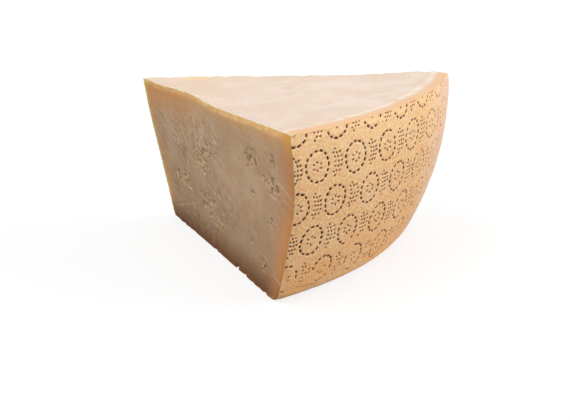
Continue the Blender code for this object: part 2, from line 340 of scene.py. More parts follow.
def cutRelief(side, along, height, length):
    # how deep a straight cut's surface lies, how much of a crag is there, and its sharp pits
    border = np.minimum(np.minimum(along, length - along), np.minimum(height, topHeight - height))
    place = np.column_stack([along, height, np.full_like(along, 3.7 * sides[side])])
    within = np.full_like(along, -9.0)
    depth = np.zeros_like(along)
    for centre, level, halfLength, halfHeight, deep in crags[side]:
        this = 1 - np.hypot((along - centre) / halfLength, (height - level) / halfHeight)
        depth = np.where(this > within, deep, depth)
        within = np.maximum(this, within)
    lumpy = noiseAt(place, cuts["cragGrain"])
    ragged = within * 0.85 + 0.5 * noiseAt(place, cuts["cragRagged"]) + 0.35 * lumpy
    lumps = np.maximum(0.1, 0.6 + 1.1 * lumpy)
    crag = smoothStep(0.2 + 2.5 * ragged)
    u, v = alongGrain(along, height)
    grained = np.column_stack([u / cuts["pitLength"], v, place[:, 2]])
    size = cuts["pitSize"]
    rough = noiseAt(grained, size) + 0.45 * noiseAt(grained + 0.3, size * 0.45)
    ready = smoothStep(1.3 + 1.5 * (ragged - 0.2))  # pits stray a little outside their crag
    pits = ready * smoothStep((rough - cuts["pitsFrom"]) / 0.22)
    torn = 0.35 + 9.0 * height - 5.0 * along + 1.1 * noiseAt(place + 0.6, cuts["tornSize"])
    calmFrom, calmWidth = cuts["calm"]
    torn = smoothStep(torn) * smoothStep((topHeight - height - calmFrom) / calmWidth)  # most near the point
    lone = smoothStep((rough - cuts["lonePitsFrom"]) / 0.12) * torn
    relief = noiseAt(place, cuts["dragSize"]) * cuts["dragDepth"]
    relief += depth * crag * (0.26 * lumps + cuts["pitShare"] * pits - 0.08 * (1 - pits))
    relief += cuts["lonePitDepth"] * lone
    relief += cuts["grainDepth"] * (0.3 + torn) * noiseAt(grained, cuts["grainSize"])
    fade = smoothStep(border / cuts["fade"])
    pit = np.maximum(pits, 0.8 * lone) * smoothStep(border / cuts["pitFade"])
    return relief * fade, {"crag": crag * fade, "pit": pit, "torn": torn}


def topRelief(p):
    inside, _ = insideOf(p)
    border = np.minimum(np.minimum(inside["left"], inside["right"]), inside["rind"])
    waves = noiseAt(p, top["waveSize"]) * top["waveDepth"] * smoothStep(border / cuts["fade"])
    fromPoint, fromCut, halfLength, halfWidth, depth = top["flake"]
    along = np.linalg.norm(p[:, :2] - pointAt(topHeight)[:2], axis=1)
    flake = 1 - np.hypot((along - fromPoint) / halfLength, (inside["right"] - fromCut) / halfWidth)
    return waves + depth * smoothStep(1.6 * flake), smoothStep(0.5 + 1.2 * flake)


def spaced(length, most, least, growth=1.22):
    # shares of a length: short steps at both ends, longer ones between
    places = [0.0]
    step = least
    while places[-1] < length / 2:
        places.append(places[-1] + step)
        step = min(most, step * growth)
    half = np.array(places) * (length / 2 / places[-1])
    return np.concatenate([half, length - half[-2::-1]]) / length


def gridFaces(rows, columns):
    a = (np.arange(rows - 1)[:, None] * columns + np.arange(columns - 1)).ravel()
    return np.column_stack([a, a + 1, a + columns + 1, a + columns]).tolist()


def fillFlat(outline, spacing):
    # an outline's places with others spread inside it, and triangles between them all
    low, high = outline.min(0), outline.max(0)
    rows = np.arange(low[1] + spacing / 2, high[1], spacing * 0.866)
    spots = np.array([
        (x + (row % 2) * spacing / 2, y)
        for row, y in enumerate(rows)
        for x in np.arange(low[0] + spacing / 4, high[0], spacing)
    ])
    a, b = outline, np.roll(outline, -1, 0)
    run = b - a
    toSpot = spots[:, None] - a[None]
    share = np.clip((toSpot * run).sum(2) / np.maximum((run**2).sum(1), 1e-18), 0, 1)
    gap = np.linalg.norm(toSpot - share[..., None] * run, axis=2).min(1)
    crosses = (a[:, 1] > spots[:, None, 1]) != (b[:, 1] > spots[:, None, 1])
    rise = np.where(run[:, 1] == 0, 1e-18, run[:, 1])
    before = spots[:, None, 0] < a[:, 0] + run[:, 0] * (spots[:, None, 1] - a[:, 1]) / rise
    inner = spots[(gap > 0.4 * spacing) & ((crosses & before).sum(1) % 2 == 1)]
    spots = np.concatenate([outline, inner])
    flat = [Vector(place) for place in spots.tolist()]
    found = delaunay_2d_cdt(flat, [], [list(range(len(outline)))], 1, 1e-9)
    return spots, [[found[3][corner][0] for corner in face] for face in found[2]]


def fillBottom(ts, leftShares, rightShares, lift, spacing):
    # the bottom, between the rim and the two cuts
    left, right = cutAlong(0.0, 0.0, leftShares[:-1], lift), cutAlong(1.0, 0.0, rightShares[:0:-1], lift)
    ring = np.concatenate([left, rindPlace(ts, 0.0, lift)[:-1], right])
    spots, faces = fillFlat(ring[:, :2], spacing)
    return np.column_stack([spots, np.full(len(spots), ring[0, 2])]), spots, faces


def fillSide(ts, leftRuns, rightRuns, lift):
    # a face that nothing shows, along the rind's curve
    ring = [(t, 0.0) for t in ts] + [(1.0, run) for run in rightRuns[1:]]
    ring += [(t, rindRun) for t in ts[-2::-1]] + [(0.0, run) for run in leftRuns[-2:0:-1]]
    ring = np.array(ring)
    spots, faces = fillFlat(ring * (rindArc, 1), skin["hiddenSpacing"])
    spots = np.concatenate([ring, spots[len(ring):] / (rindArc, 1)])
    return rindPlace(spots[:, 0], spots[:, 1], lift), spots, faces


Patch = namedtuple("Patch", "sharp final flat faces slot marks")  # places unworn, worn and laid flat


def addObject(name, data):
    thing = bpy.data.objects.new(name, data)
    bpy.context.scene.collection.objects.link(thing)
    return thing


def joinPatches(name, patches, materials):
    # one mesh from patches that share the places along their borders
    keys = np.concatenate([patch.sharp for patch in patches])
    finals = np.concatenate([patch.final for patch in patches])
    spots = np.concatenate([patch.flat for patch in patches])
    _, first, which = np.unique(
        np.round(keys * 1e6 + 0.137), axis=0, return_index=True, return_inverse=True
    )
    which = which.reshape(-1)
    faces, corners, slots = [], [], []
    offset = 0
    for patch in patches:
        for face in patch.faces:
            own = [offset + corner for corner in face]
            kept = [c for i, c in enumerate(own) if which[c] != which[own[i - 1]]]
            if len(kept) > 2:
                faces.append([int(which[c]) for c in kept])
                corners.extend(kept)
                slots.append(patch.slot)
        offset += len(patch.sharp)
    mesh = bpy.data.meshes.new(name)
    mesh.from_pydata(finals[first].tolist(), [], faces)
    mesh.polygons.foreach_set("material_index", slots)
    mesh.uv_layers.new(name="flat").data.foreach_set("uv", spots[corners].astype(np.float32).ravel())
    for label in patches[0].marks:
        values = np.concatenate([patch.marks[label] for patch in patches])[first]
        mesh.attributes.new(label, "FLOAT", "POINT").data.foreach_set("value", values.astype(np.float32))
    for material in materials:
        mesh.materials.append(material)
    shell = bmesh.new()
    shell.from_mesh(mesh)
    bmesh.ops.recalc_face_normals(shell, faces=shell.faces)
    shell.to_mesh(mesh)
    shell.free()
    mesh.shade_smooth()
    mesh.set_sharp_from_angle(angle=math.radians(48))
    return addObject(name, mesh)


def binary(operation, reflected=False):
    # what an operator between sockets and numbers does
    def act(self, value):
        values = (value, self) if reflected else (self, value)
        return self.math(operation, *values)

    return act


class Socket:
    # an output that can stand in a sum: each operator adds a Math node
    __add__, __radd__ = binary("ADD"), binary("ADD", True)
    __sub__, __rsub__ = binary("SUBTRACT"), binary("SUBTRACT", True)
    __mul__, __rmul__ = binary("MULTIPLY"), binary("MULTIPLY", True)
    __truediv__, __rtruediv__ = binary("DIVIDE"), binary("DIVIDE", True)
    __pow__, __gt__, __lt__ = binary("POWER"), binary("GREATER_THAN"), binary("LESS_THAN")

    def __init__(self, maker, output):
        self.maker = maker
        self.output = output

    def __getitem__(self, name):
        return Socket(self.maker, self.output.node.outputs[name])

    def math(self, operation, *values):
        return self.maker.add("ShaderNodeMath", {"operation": operation}, values)

    def clamped(self):
        return self.math("MAXIMUM", self.math("MINIMUM", self, 1.0), 0.0)


class Maker:
    # adds nodes to a tree
    def __init__(self, tree):
        self.tree = tree

    def add(self, kind, settings=None, inputs=(), output=None):
        node = self.tree.nodes.new(kind)
        for name, value in (settings or {}).items():
            setattr(node, name, value)
        shown = [socket for socket in node.inputs if socket.enabled]
        named = inputs.items() if isinstance(inputs, dict) else enumerate(inputs)
        for key, value in named:
            socket = shown[key] if isinstance(key, int) else next(s for s in shown if s.name == key)
            self.feed(socket, value)
        outputs = [socket for socket in node.outputs if socket.enabled]
        return Socket(self, outputs[0] if output is None else next(s for s in outputs if s.name == output))

    def feed(self, socket, value):
        if isinstance(value, Socket):
            self.tree.links.new(value.output, socket)
        elif value is not None:
            wide = socket.type == "RGBA" and len(value) == 3
            socket.default_value = (*value, 1) if wide else value

    def smooth(self, value, low, high):
        inputs = {"Value": value, "From Min": low, "From Max": high}
        return self.add("ShaderNodeMapRange", {"interpolation_type": "SMOOTHSTEP"}, inputs)

    def mix(self, share, a, b):
        return self.add("ShaderNodeMix", {"data_type": "RGBA", "blend_type": "MIX"}, [share, a, b])

    def paint(self, look, first, *layers):
        # one of a look's colours, with others laid over it by their shares
        colour = tint(*look[first])
        for share, name in layers:
            colour = self.mix(share, colour, tint(*look[name]))
        return colour

    def surface(self, values):
        shader = self.tree.nodes["Principled BSDF"]
        for label, value in values.items():
            self.feed(shader.inputs[label], value)

    def vector(self, operation, *values):
        return self.add("ShaderNodeVectorMath", {"operation": operation}, values)

    def split(self, vector):
        x = self.add("ShaderNodeSeparateXYZ", {}, [vector])
        return x, x["Y"], x["Z"]

    def combine(self, x=0.0, y=0.0, z=0.0):
        return self.add("ShaderNodeCombineXYZ", {}, [x, y, z])

    def noise(self, place, scale, detail=2.0, roughness=0.5, distortion=0.0):
        inputs = {"Vector": place, "Scale": scale, "Detail": detail}
        inputs.update({"Roughness": roughness, "Distortion": distortion})
        return self.add("ShaderNodeTexNoise", {}, inputs)

    def flat(self):
        return self.add("ShaderNodeUVMap", {"uv_map": "flat"})

    def object(self):
        return self.add("ShaderNodeTexCoord", {}, (), "Object")

    def attribute(self, name):
        return self.add("ShaderNodeAttribute", {"attribute_name": name}, (), "Fac")

    def bump(self, height, strength):
        inputs = {"Strength": strength, "Distance": 1.0, "Height": height}
        return self.add("ShaderNodeBump", {}, inputs)


def tint(red, green, blue):
    # screen colour, 0 to 255, as the linear one that shaders use
    return tuple(((v / 255 + 0.055) / 1.055) ** 2.4 for v in (red, green, blue))


def newMaterial(name, constants):
    material = bpy.data.materials.new(name)
    material.use_nodes = True
    make = Maker(material.node_tree)
    make.surface(constants)
    return material, make


# Screen colours of the cut sides
sideLook = {
    "paste": (219, 180, 141),
    "paler": (231, 196, 160),
    "deeper": (180, 134, 92),
    "torn": (250, 220, 188),
    # painted shade towards the bottom of the cuts
    "low": (190, 152, 113),
    # painted shade for the crags' pits and pecks
    "crag": (186, 146, 92),
    "cragDeep": (156, 114, 56),
    "gold": (236, 186, 126),
    "goldNear": (240, 182, 128),
    "goldDeep": (236, 171, 106),
    "goldEdge": (252, 206, 136),
    "goldPoint": (255, 212, 122),
    "rindBandIn": (224, 166, 120),
    "rindBand": (242, 160, 86),
    "rindEdge": (240, 186, 134),
    # painted light at the rind side's upper corner
    "corner": (255, 184, 88),
    "bottomBand": (128, 75, 28),
    "crystal": (250, 243, 232),
}
# Hairline scratches on the left cut, in metres: from and to (distance from the point, height), half width
scratches = (
    ((0.179, 0.0155), (0.204, 0.0125), 0.00022),
    ((0.172, 0.024), (0.200, 0.008), 0.00018),
    ((0.195, 0.073), (0.212, 0.065), 0.00022),
    ((0.196, 0.060), (0.212, 0.050), 0.00015),
    ((0.193, 0.0745), (0.210, 0.0670), 0.00014),
    ((0.199, 0.0645), (0.213, 0.0610), 0.00016),
    ((0.017, 0.0125), (0.068, 0.0285), 0.00016),
    ((0.012, 0.068), (0.034, 0.058), 0.00025),
    ((0.030, 0.071), (0.047, 0.051), 0.00020),
    ((0.081, 0.0155), (0.084, 0.004), 0.00025),
)


def scratchMask(make, place):
    total = None
    for start, end, width in scratches:
        run = Vector(end) - Vector(start)
        fromStart = make.vector("SUBTRACT", place, (*start, 0))
        along = make.vector("DOT_PRODUCT", fromStart, (*run, 0)) / run.length_squared
        nearest = make.vector("SCALE", (*run, 0), along.clamped())
        line = 1 - make.smooth(make.vector("DISTANCE", fromStart, nearest), width * 0.4, width * 1.6)
        total = line if total is None else total.math("MAXIMUM", total, line)
    return total


def pasteSideMaterial():
    material, make = newMaterial("pasteSide", {
        "Subsurface Weight": 0.7,
        "Subsurface Radius": (1.0, 0.62, 0.25),
        "Subsurface Scale": 0.0075,
        "Specular IOR Level": 0.35,
    })
    smooth = make.smooth
    place = make.flat()
    along, height, _ = make.split(place)
    bend = (make.noise(place, 24, 2, 0.5) - 0.5) * 0.012  # the grain wanders a little
    u, v = alongGrain(along, height)
    v = v + bend
    streaks = make.noise(make.combine(u * 0.24, v, 0.0), 540, 4, 0.65, 0.3)
    fineStreaks = make.noise(make.combine(u * 0.34, v, 3.0), 1150, 2, 0.6, 0.3)
    pecks = make.noise(make.combine(u * 0.38, v, 9.0), 620, 2, 0.55, 0.3)
    fibres = make.noise(make.combine(u * 0.15, v, 6.0), 820, 2, 0.5, 0.2)
    mottle = make.noise(place, 42, 3, 0.55)
    grit = make.noise(place, 1100, 3, 0.65)
    crag, pit, torn = (make.attribute(label) for label in ("crag", "pit", "torn"))
    rough = 0.20 + torn * 1.10
    # pecks: sunk strokes in the crags, painted dark below as shade
    pecked = smooth(pecks + crag * 0.145 + torn * 0.045 - 0.012, 0.66, 0.72)
    # painted shade: the cut sides darken towards the bottom; this also deepens the rind band lower down
    low = 1 - smooth(height + (mottle - 0.5) * 0.03, 0.004, 0.084)
    uneven = (make.noise(place, 150, 2, 0.5) - 0.5) * 1.6
    # millimetres from the borders
    fromTop, fromPoint, fromRind, fromBottom = (
        make.attribute(label) + uneven for label in ("fromTop", "fromPoint", "fromRind", "fromBottom")
    )
    ends = 1 - smooth(fromPoint, 24.0, 85.0) + smooth(fromPoint, 120.0, 170.0) * 0.45
    corner = 1 - smooth(fromTop, 2.0, 17.0)
    nearRind = 1 - smooth(fromRind, 2.0, 13.5)
    # a dark brown band along the bottom of the cuts, darkest at the bottom edge
    bottomBand = (1 - smooth(fromBottom, -2.0, 25.0)) * (0.6 + smooth(fromRind, 2.0, 22.0) * 0.38)
    scratch = scratchMask(make, place)
    specks = make.add("ShaderNodeTexVoronoi", {}, {"Vector": place, "Scale": 210}, "Distance")
    specks = (1 - smooth(specks, 0.05, 0.10)) * smooth(make.noise(place, 90, 1), 0.58, 0.62)
    colour = make.paint(
        sideLook, "paste",
        (smooth(mottle, 0.35, 0.65), "paler"),
        (low * 0.8, "low"),
        (smooth(streaks, 0.50, 0.70) * rough, "deeper"),
        ((1 - smooth(streaks, 0.32, 0.47)) * rough, "torn"),
        (smooth(fineStreaks, 0.54, 0.76) * rough * 0.5, "deeper"),
        (smooth(fibres, 0.58, 0.70) * rough * 0.6, "torn"),
        (smooth(grit, 0.58, 0.78) * 0.22, "deeper"),
        (crag * smooth(fineStreaks, 0.42, 0.56) * 0.6, "torn"),
        # painted shade: the crags' sunk pits and pecks painted darker olive
        (pit * 0.35, "crag"),
        (pecked * 0.8, "cragDeep"),
        # light that comes through near the upper edge and the point
        ((1 - smooth(fromPoint, 2.0, 22.0)) * 0.85, "goldNear"),
        ((1 - smooth(fromTop, 0.5, 14.0)) * 0.85, "gold"),
        ((1 - smooth(fromTop, 3.0, 30.0)) * ends * 0.8, "goldDeep"),
        ((1 - smooth(fromTop, 0.5, 6.0)) * 0.9, "goldEdge"),
        ((1 - smooth(fromPoint, 0.5, 7.0)) * 0.9, "goldPoint"),
        # a drier, browner paste near the rind, painted light at the rind side's upper corner, and a dark
        # brown band along the bottom
        ((1 - smooth(fromRind, 6.0, 28.0)) * (1 - corner) * 0.9, "rindBandIn"),
        (nearRind * (0.7 + low * 0.25), "rindBand"),
        # painted light: the rind band turns bright orange-gold near the level cut
        (nearRind * corner, "corner"),
        ((1 - smooth(fromRind, 0.4, 2.4)) * 0.6, "rindEdge"),
        (bottomBand, "bottomBand"),
        (scratch * 0.5, "crystal"),
        (specks * 0.7, "crystal"),
    )
    relief = streaks * rough * 0.00125 + fineStreaks * rough * 0.00050 + grit * 0.00014
    relief = relief - pecked * 0.00045 - scratch * 0.00008
    roughness = 0.50 + pit * 0.2 + (grit - 0.5) * 0.2
    make.surface({"Base Color": colour, "Roughness": roughness, "Normal": make.bump(relief, 0.9)})
    return material


# Screen colours of the level cut, and the width of its band along the rind in millimetres
topLook = {
    "paste": (229, 203, 181),
    "paler": (237, 217, 201),
    "deeper": (229, 196, 164),
    "line": (246, 233, 219),
    "flake": (240, 208, 162),
    "edge": (240, 228, 212),
    "rindBand": (238, 186, 138),
    "rim": (246, 184, 112),
    "bandWidth": 8.6,
}


def pasteTopMaterial():
    material, make = newMaterial("pasteTop", {
        "Subsurface Weight": 0.6,
        "Subsurface Radius": (1.0, 0.55, 0.25),
        "Subsurface Scale": 0.006,
        "Specular IOR Level": 0.35,
    })
    smooth = make.smooth
    place = make.flat()
    x, y, _ = make.split(place)
    clouds = make.noise(place, 30, 4, 0.6, 0.8)
    patches = make.noise(place, 110, 3, 0.6, 0.5)
    drawn = make.combine(x * 0.9 + y * 0.43, (y * 0.9 - x * 0.43) * 0.22, 0.0)
    streaks = make.noise(drawn, 170, 3, 0.6, 0.4)
    grit = make.noise(place, 900, 3, 0.6)
    flake = smooth(make.attribute("crag") + (patches - 0.5) * 0.4, 0.05, 0.5)
    uneven = (make.noise(place, 34, 3, 0.55) - 0.5) * 4.5 + (patches - 0.5) * 1.6
    fromRind = make.attribute("fromRind") + uneven
    width = topLook["bandWidth"]
    band = 1 - smooth(fromRind, width - 5.0, width + 1.0)
    line = smooth(fromRind, width - 2.4, width + 0.6) * (1 - smooth(fromRind, width + 0.8, width + 5.0))
    edge = 1 - smooth(make.attribute("fromPoint") + (grit - 0.5) * 3.0, 0.4, 2.0)
    colour = make.paint(
        topLook, "paste",
        (smooth(clouds, 0.34, 0.66), "paler"),
        (smooth(y, -0.15, -0.02) * 0.38, "deeper"),
        (smooth(patches, 0.50, 0.74) * 0.50, "deeper"),
        (smooth(streaks, 0.52, 0.78) * 0.40, "deeper"),
        ((1 - smooth(streaks, 0.24, 0.42)) * 0.5, "paler"),
        (smooth(grit, 0.58, 0.78) * 0.25, "deeper"),
        (flake * 0.8, "flake"),
        ((1 - smooth(fromRind, width, width + 9.0)) * 0.55, "deeper"),
        (band * (0.65 + streaks * 0.4), "rindBand"),
        ((1 - smooth(fromRind, 0.2, 2.6)) * 0.55, "rim"),
        (line * smooth(clouds + patches, 0.8, 1.1) * 0.75, "line"),
        (edge * (0.1 + smooth(patches, 0.44, 0.60) * 0.7), "edge"),
    )
    normal = make.bump(streaks * 0.00022 + patches * 0.00030 + grit * 0.00006, 0.6)
    make.surface({"Base Color": colour, "Roughness": 0.48 + (grit - 0.5) * 0.15, "Normal": normal})
    return material


def pastePlaces(sharp, outward, sunk):
    inside, normals = insideOf(sharp)
    near = smoothStep(1.5 - np.minimum(inside["rind"], inside["bottom"]) / skin["tuckReach"])
    tucked = np.zeros_like(sharp)
    for face in ("top", "left", "right"):
        held = skin["tuck"] * near * smoothStep(1 - inside[face] / skin["tuckDepth"])
        tucked -= normals[face] * held[:, None]
    return worn(sharp) + chipped(sharp) + tucked - outward * sunk[:, None]


def crumbyAt(sharp, inside):
    # how crumbly the paste is: most at the upper knife edges
    patchy = smoothStep(0.5 + 1.6 * noiseAt(sharp + 0.2, wear["crumblySize"]))
    crumby = np.zeros(len(sharp))
    for face, share in (("top", 1.0), ("rind", 0.25)):
        for side in sides:
            near = nearEdge(inside, face, side, wear["crumblyReach"])
            crumby = np.maximum(crumby, share * near * patchy)
    return crumby


def pasteMarks(sharp, marks):
    # what the materials and the crumbs read from the paste's points; distances in millimetres
    inside, _ = insideOf(sharp)
    onTop = inside["top"] < 1e-5
    fromCuts = inside["left"], inside["right"]
    none = np.zeros(len(sharp))
    found = {label: marks.get(label, none) for label in ("crag", "pit", "torn")}
    for label, face in (("fromTop", "top"), ("fromBottom", "bottom"), ("fromRind", "rind")):
        found[label] = inside[face] * 1000
    found["fromPoint"] = np.where(onTop, np.minimum(*fromCuts), np.maximum(*fromCuts)) * 1000
    found["crumby"] = crumbyAt(sharp, inside)
    return found


def pastePatch(sharp, flat, faces, slot=0, outward=0.0, sunk=None, marks=None):
    sunk = np.zeros(len(sharp)) if sunk is None else sunk
    final = pastePlaces(sharp, outward, sunk)
    return Patch(sharp, final, flat, faces, slot, pasteMarks(sharp, marks or {}))


def makePaste():
    inset = -skin["overlap"]
    around = spaced(rindArc, top["spacing"], top["edgeSpacing"])
    patches, shares, runs = [], {}, {}
    for side, t in (("left", 0.0), ("right", 1.0)):
        shares[side] = spaced(wheel["radius"], cuts["spacing"][side], cuts["edgeSpacing"])
        runs[side] = spaced(rindRun, cuts["spacing"][side], cuts["edgeSpacing"]) * rindRun
        end = rindPlace(t, runs[side], inset)
        start = pointAt(end[:, 2])
        sharp = (start[:, None] + (end - start)[:, None] * shares[side][None, :, None]).reshape(-1, 3)
        length = np.linalg.norm(end - start, axis=1)
        along = (length[:, None] * shares[side][None]).ravel()
        height = sharp[:, 2].copy()
        outward = cutOutward(side, height)[1]
        sunk, marks = cutRelief(side, along, height, np.repeat(length, len(shares[side])))
        flat = np.column_stack([along + (t > 0.5), height])
        faces = gridFaces(len(runs[side]), len(shares[side]))
        patches.append(pastePatch(sharp, flat, faces, 0, outward, sunk, marks))
    # the level cut, spread between the two sides' top edges
    ring = np.concatenate([
        pointAt(np.array(topHeight))[None],
        cutAlong(0.0, rindRun, shares["left"][1:], inset),
        rindPlace(around[1:], rindRun, inset),
        cutAlong(1.0, rindRun, shares["right"][-2:0:-1], inset),
    ])
    spots, faces = fillFlat(ring[:, :2], top["spacing"])
    sharp = np.column_stack([spots, np.full(len(spots), topHeight)])
    sunk, flake = topRelief(sharp)
    patches.append(pastePatch(sharp, spots, faces, 1, np.array([0, 0, 1.0]), sunk, {"crag": flake}))
    # the two faces that the rind covers
    patches.append(pastePatch(*fillSide(around, runs["left"], runs["right"], inset)))
    hidden = fillBottom(around, shares["left"], shares["right"], inset, skin["hiddenSpacing"])
    patches.append(pastePatch(*hidden))
    return joinPatches("paste", patches, [pasteSideMaterial(), pasteTopMaterial()])


paste = makePaste()
print("paste", len(paste.data.polygons), "faces")

# The rind's pricked pattern, laid out flat: x round the rind, y up it. Rings, and sprigs between them
pattern = {
    "ringWidth": 0.0150,
    "ringHeight": 0.0186,
    "ringPitch": 0.0272,
    "rowPitch": 0.0232,
    "firstRow": 0.0235,
    "shiftLeft": 0.0065,
    "petalReach": 0.0027,
    "sprigHeight": 0.0150,
    "sprigBend": 0.0034,
    "leafReach": 0.0042,
    "dashPitch": 0.0037,
    "finePitch": 0.0024,
    "dashLength": 0.00118,  # half of it
    "dashWidth": 0.00058,
    "dashHeight": 0.00022,
    "dashSunk": 0.00026,
    "fineShare": 0.62,  # how large the sprigs' dashes are beside the rings'
    "missing": 0.04,
}
rindShape = {
    "dentDepth": 0.00042,
    "dentWidth": 0.00040,
    "lipHeight": 0.00004,
    "peelSize": 640.0,
    "peelDepth": 0.00012,
    "marksFadeFrom": 0.010,
    "marksFadeTo": 0.036,
}


def newTree(name, sizes):
    tree = bpy.data.node_groups.new(name, "GeometryNodeTree")
    for way in ("INPUT", "OUTPUT"):
        tree.interface.new_socket("Geometry", in_out=way, socket_type="NodeSocketGeometry")
    for label in sizes:
        tree.interface.new_socket(label, in_out="INPUT", socket_type="NodeSocketFloat")
    make = Maker(tree)
    return make, make.add("NodeGroupInput")


def endTree(make, geometry, material=None):
    geometry = make.add("GeometryNodeRealizeInstances", {}, [geometry])
    if material:
        geometry = make.add("GeometryNodeSetMaterial", {}, {"Geometry": geometry, "Material": material})
    make.feed(make.tree.nodes.new("NodeGroupOutput").inputs[0], geometry)
    return make.tree


def runTree(piece, tree, sizes):
    # grows the tree's shape on a piece, and leaves a plain mesh
    modifier = piece.modifiers.new(tree.name, "NODES")
    modifier.node_group = tree
    for item in tree.interface.items_tree:
        if item.in_out == "INPUT" and item.name in sizes:
            modifier[item.identifier] = sizes[item.name]
    graph = bpy.context.evaluated_depsgraph_get()
    made = bpy.data.meshes.new_from_object(piece.evaluated_get(graph), depsgraph=graph)
    piece.modifiers.remove(modifier)
    piece.data = made
    made.name = piece.name


def position(make):
    return make.add("GeometryNodeInputPosition")


def named(make, label, kind="FLOAT"):
    return make.add("GeometryNodeInputNamedAttribute", {"data_type": kind}, {"Name": label})


def stored(make, geometry, label, value, domain="POINT"):
    inputs = {"Geometry": geometry, "Name": label, "Value": value}
    return make.add("GeometryNodeStoreNamedAttribute", {"data_type": "FLOAT", "domain": domain}, inputs)


def chance(make, low, high, seed):
    inputs = {"Min": low, "Max": high, "Seed": seed}
    return make.add("FunctionNodeRandomValue", {"data_type": "FLOAT"}, inputs)


def moved(make, geometry, **inputs):
    return make.add("GeometryNodeSetPosition", {}, {"Geometry": geometry, **inputs})


def placed(make, points, instance, **inputs):
    return make.add("GeometryNodeInstanceOnPoints", {}, {"Points": points, "Instance": instance, **inputs})


def joined(make, *parts):
    result = make.add("GeometryNodeJoinGeometry")
    for part in parts[::-1]:
        make.feed(result.output.node.inputs[0], part)
    return result


def straight(make, start, end):
    return make.add("GeometryNodeCurvePrimitiveLine", {"mode": "POINTS"}, {"Start": start, "End": end})


def unevenness(make, place, scale, detail, reach):
    # a shift of up to about half the reach each way
    shift = make.add("ShaderNodeTexNoise", {}, {"Vector": place, "Scale": scale, "Detail": detail}, "Color")
    return make.vector("MULTIPLY", make.vector("SUBTRACT", shift, (0.5, 0.5, 0.5)), reach)


def turned(make, angle):
    return make.add("FunctionNodeEulerToRotation", {}, [make.combine(0.0, 0.0, angle)])


def motifs(make, size):
    # a ring, its petals and a sprig, as curves round the origin
    circle = {"Resolution": 48, "Radius": 0.5}
    ring = make.add("GeometryNodeCurvePrimitiveCircle", {"mode": "RADIUS"}, circle)
    scale = make.combine(size["ringWidth"], size["ringHeight"], 1.0)
    ring = make.add("GeometryNodeTransform", {}, {"Geometry": ring, "Scale": scale})
    petals = []
    reach = size["petalReach"]
    for turn in range(6):
        angle = math.pi * (0.5 + turn / 3)
        direction = (math.cos(angle), math.sin(angle), 0.0)
        ends = (make.vector("SCALE", direction, far) for far in (reach, reach * 1.4))
        petals.append(straight(make, *ends))
    half, bend, leaf = size["sprigHeight"] * 0.5, size["sprigBend"], size["leafReach"]
    sprig = [make.add("GeometryNodeCurveQuadraticBezier", {}, {
        "Resolution": 12,
        "Start": make.combine(bend * -0.5, half * -1.0, 0.0),
        "Middle": make.combine(bend, 0.0, 0.0),
        "End": make.combine(bend * -0.5, half, 0.0),
    })]
    for side in (-1.0, 1.0):
        for level in (-0.70, -0.34, 0.02, 0.38, 0.74):
            stem = bend * (0.25 - 0.75 * level**2)
            start = make.combine(stem + leaf * (0.55 * side), half * level, 0.0)
            end = make.combine(stem + leaf * (0.85 * side), half * (level + 0.14), 0.0)
            sprig.append(straight(make, start, end))
    return ring, joined(make, *petals), joined(make, *sprig)


def pricked(make, size, curves, pitch, share, seed):
    # a dash at each step along the curves, unevenly set and cut off at the sheet's borders
    here = position(make)
    x, y, _ = make.split(here)
    curves = make.add("GeometryNodeRealizeInstances", {}, [curves])
    points = make.add("GeometryNodeCurveToPoints", {"mode": "LENGTH"}, {"Curve": curves, "Length": pitch})
    tangentX, tangentY, _ = make.split(points["Tangent"])
    turn = tangentY.math("ARCTAN2", tangentY, tangentX) + chance(make, -0.12, 0.12, seed)
    sway = unevenness(make, here, 45.0, 1.0, (0.0026, 0.0026, 0.0))
    jitter = make.combine(*(chance(make, -0.00018, 0.00018, seed + i) for i in (1, 2)), 0.0)
    kept = moved(make, points, Offset=make.vector("ADD", sway, jitter))
    outside = (x.math("ABSOLUTE", x) > rindArc / 2 - 0.0001) + (y > rindRun - 0.0001)
    low = 1 - make.smooth(y, rindShape["marksFadeFrom"], rindShape["marksFadeTo"])
    gone = chance(make, 0.0, 1.0, seed + 3) < size["missing"] + low * 0.55
    inputs = {"Geometry": kept, "Selection": outside + gone}
    kept = make.add("GeometryNodeDeleteGeometry", {"domain": "POINT"}, inputs)
    dash = make.add("GeometryNodeMeshUVSphere", {}, {"Segments": 8, "Rings": 4, "Radius": 1.0})
    boxy = [part.math("SIGN", part) * part.math("ABSOLUTE", part) ** 0.5 for part in make.split(here)]
    dash = moved(make, dash, Position=make.combine(*boxy))
    far = make.smooth(x, 0.0, rindArc * 0.42)
    faint = (1 - far * 0.22) * (1 - low * 0.30) * share
    scale = make.combine(
        size["dashLength"] * chance(make, 0.78, 1.12, seed + 4) * share * (1 + low * 0.3),
        size["dashWidth"] * chance(make, 0.78, 1.20, seed + 5) * faint,
        size["dashHeight"],
    )
    found = placed(make, kept, dash, Rotation=turned(make, turn), Scale=scale)
    found = stored(make, found, "tone", chance(make, 0.0, 1.0, seed + 6), "INSTANCE")
    # dashes paler and redder towards the right cut, a painted sheen, and fainter lower down
    return stored(make, found, "fadeAndSheen", far * 1.15 + low * 0.7, "INSTANCE")


